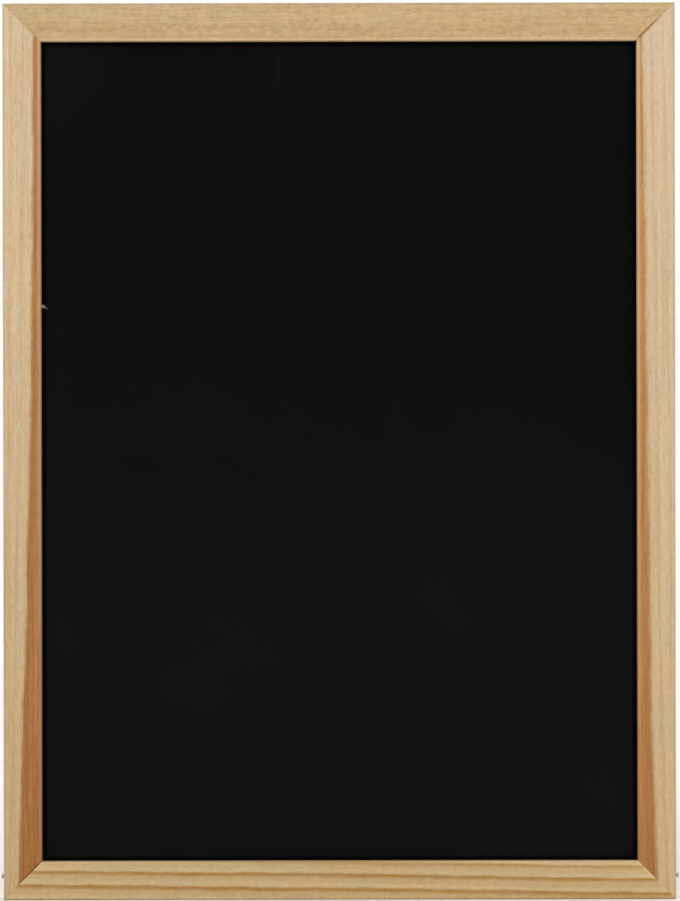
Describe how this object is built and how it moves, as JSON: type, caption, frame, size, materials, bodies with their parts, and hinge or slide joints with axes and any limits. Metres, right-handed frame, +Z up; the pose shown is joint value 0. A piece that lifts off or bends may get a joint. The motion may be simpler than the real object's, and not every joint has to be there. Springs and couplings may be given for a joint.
{
  "type": "slate writing board",
  "caption": "Upright framed chalk writing board: matt black panel in a mitred pine frame with grooved sticks, side nails and swinging ring hangers on the back.",
  "frame": {"origin": "middle of the bottom edge, half way through the frame's depth", "axes": "+Z up the board, -Y out of the writing face, +X to the writer's right, +Y towards the wall"},
  "size_m": [0.303, 0.0152, 0.4],
  "materials": {
    "pine": "satin",
    "chalk_lacquer": "matte",
    "hardboard": "matte",
    "nail_steel": "satin",
    "zinc_plate": "satin"
  },
  "bodies": {
    "board": {"top_rail": "pine", "bottom_rail": "pine", "left_stile": "pine", "right_stile": "pine", "writing_face": "chalk_lacquer", "backing_board": "hardboard", "corner_nails": "nail_steel", "left_hanger_strap": "zinc_plate", "right_hanger_strap": "zinc_plate", "hanger_screws": "zinc_plate"},
    "left_ring": {"left_hanger_ring": "zinc_plate"},
    "right_ring": {"right_hanger_ring": "zinc_plate"}
  },
  "joints": [
    {"name": "left_ring_swing", "type": "hinge", "parent": "board", "child": "left_ring", "pos_m": [-0.1415, 0.0073, 0.32], "axis": [1, 0, 0], "range_deg": [0, 171]},
    {"name": "right_ring_swing", "type": "hinge", "parent": "board", "child": "right_ring", "pos_m": [0.1415, 0.0073, 0.32], "axis": [1, 0, 0], "range_deg": [0, 171]}
  ]
}
